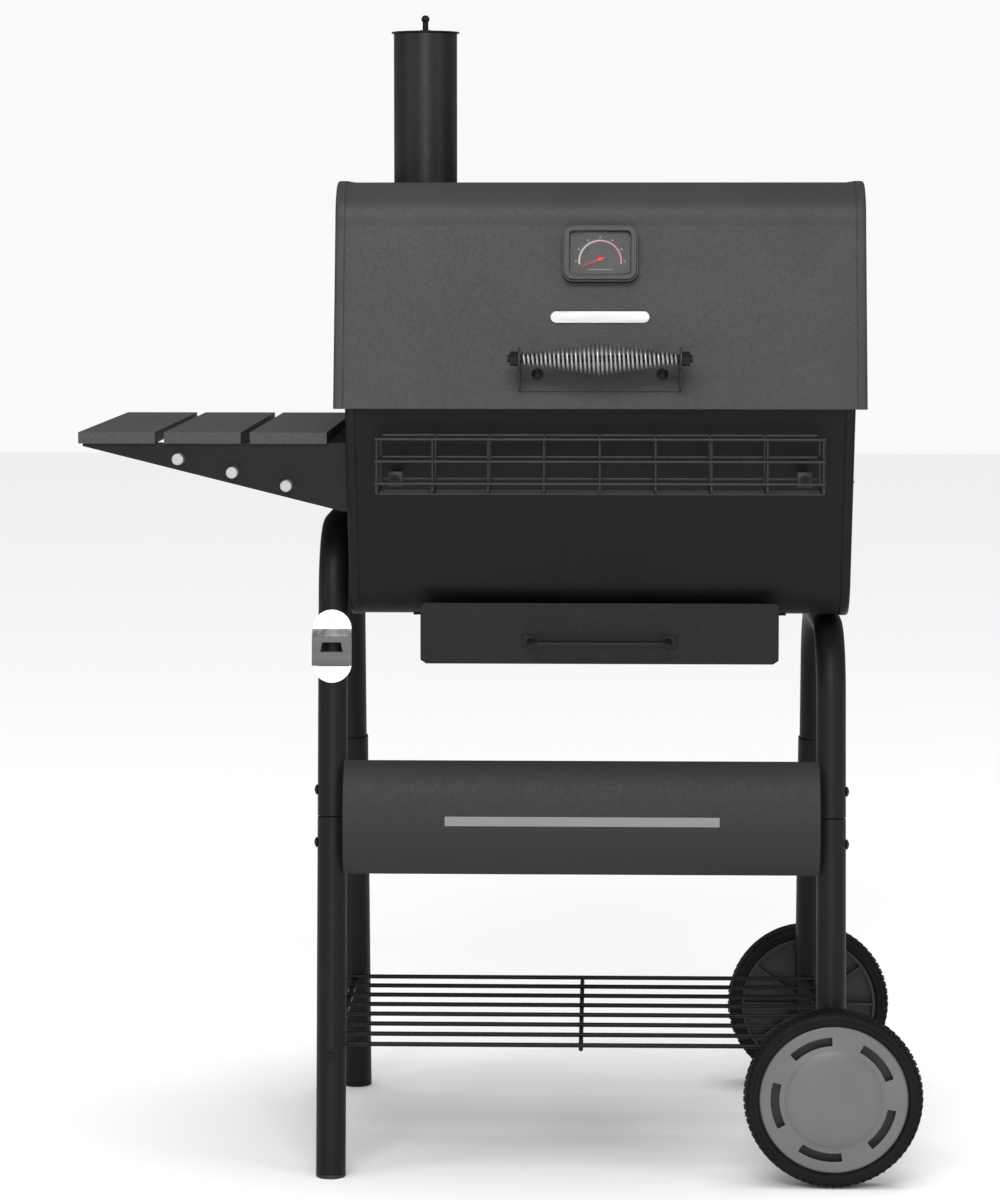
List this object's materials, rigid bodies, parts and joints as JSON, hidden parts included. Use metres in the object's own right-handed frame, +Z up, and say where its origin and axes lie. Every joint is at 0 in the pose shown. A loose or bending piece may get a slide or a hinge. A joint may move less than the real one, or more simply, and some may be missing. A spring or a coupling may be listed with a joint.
{
  "type": "barrel charcoal grill cart",
  "caption": "Barrel charcoal grill on a two-wheeled cart, with a hinged lid, capped chimney, ash drawer, slatted side shelf, wire basket and lower wire rack.",
  "frame": {"origin": "on the ground under the middle of the part's box", "axes": "+Z up, front towards -Y, side shelf towards -X, wheels towards +X"},
  "size_m": [0.8937, 0.5874, 1.2466],
  "materials": {
    "black_paint": "satin heat-proof black paint with a fine texture",
    "lid_paint": "satin charcoal-grey heat-proof paint",
    "tyre": "moulded black tyre with small tread lugs",
    "black_plastic": "moulded black plastic",
    "hub_grey": "mid-grey moulded plastic",
    "slat": "dark composite board with a fine grain",
    "zinc_steel": "bright zinc-plated steel",
    "polished_steel": "polished stamped steel",
    "spring_wire": "bright coiled steel wire",
    "cast_grate": "black enamelled cast bars",
    "dial_grey": "printed dark grey dial with a pale scale",
    "needle_red": "red needle",
    "glass": "clear flat glass"
  },
  "bodies": {
    "cart": {"left_leg_frame": "black_paint", "right_leg_frame": "black_paint", "front_left_leg": "black_paint", "rear_left_leg": "black_paint", "front_right_leg": "black_paint", "rear_right_leg": "black_paint", "leg_caps": "black_plastic", "leg_bolts": "black_paint", "front_panel": "black_paint", "rear_brace": "black_paint", "bottom_rack": "black_paint", "axle": "zinc_steel", "axle_nuts": "zinc_steel", "firebox_shell": "black_paint", "firebox_left_end": "black_paint", "firebox_right_end": "black_paint", "frame_fixings": "black_paint", "charcoal_grate": "cast_grate", "cooking_grate_left": "cast_grate", "cooking_grate_right": "cast_grate", "grate_rests": "black_paint", "warming_rack": "zinc_steel", "warming_rack_legs": "zinc_steel", "drawer_rails": "black_paint", "hinge_brackets": "black_paint", "hinge_pins": "zinc_steel", "wire_basket": "black_paint", "small_screws": "black_paint", "shelf_slat_outer": "slat", "shelf_slat_middle": "slat", "shelf_slat_inner": "slat", "shelf_brackets": "black_paint", "tool_pegs": "zinc_steel", "bottle_opener": "polished_steel", "opener_screws": "polished_steel"},
    "lid": {"lid_shell": "lid_paint", "lid_left_end": "lid_paint", "lid_right_end": "lid_paint", "hinge_straps": "black_paint", "lid_badge": "zinc_steel", "thermometer_case": "black_plastic", "thermometer_dial": "dial_grey", "thermometer_glass": "glass", "handle_bracket": "black_paint", "handle_rod": "black_paint", "spring_grip": "spring_wire", "handle_bolts": "black_paint", "chimney_tube": "black_paint", "chimney_bridge": "black_paint"},
    "needle": {"thermometer_needle": "needle_red"},
    "chimney_cap": {"chimney_cap": "black_paint", "chimney_knob": "black_paint"},
    "ash_drawer": {"ash_drawer": "black_paint", "drawer_handle": "black_paint"},
    "front_wheel": {"front_tyre": "tyre", "front_rim": "black_plastic", "front_hub_cap": "hub_grey"},
    "rear_wheel": {"rear_tyre": "tyre", "rear_rim": "black_plastic", "rear_hub_cap": "hub_grey"},
    "vent_shutter": {"vent_shutter": "black_paint"}
  },
  "joints": [
    {"name": "lid_hinge", "type": "hinge", "parent": "cart", "child": "lid", "pos_m": [0.1036, 0.28675, 0.824], "axis": [-1, 0, 0], "range_deg": [0, 85]},
    {"name": "drawer_slide", "type": "slide", "parent": "cart", "child": "ash_drawer", "axis": [0, -1, 0], "range_m": [0, 0.22]},
    {"name": "front_wheel_spin", "type": "hinge", "parent": "cart", "child": "front_wheel", "pos_m": [0.3516, -0.20635, 0.0953], "axis": [0, 1, 0], "continuous": true},
    {"name": "rear_wheel_spin", "type": "hinge", "parent": "cart", "child": "rear_wheel", "pos_m": [0.3516, 0.26385, 0.0953], "axis": [0, 1, 0], "continuous": true},
    {"name": "chimney_cap_lift", "type": "slide", "parent": "lid", "child": "chimney_cap", "axis": [0, 0, 1], "range_m": [0, 0.025]},
    {"name": "needle_turn", "type": "hinge", "parent": "lid", "child": "needle", "pos_m": [0.1036, -0.18881, 0.97856], "axis": [0, 0.9767, -0.2147], "range_deg": [0, 226]},
    {"name": "vent_turn", "type": "hinge", "parent": "cart", "child": "vent_shutter", "pos_m": [0.3696, 0.02875, 0.7], "axis": [1, 0, 0], "range_deg": [0, 60]}
  ]
}
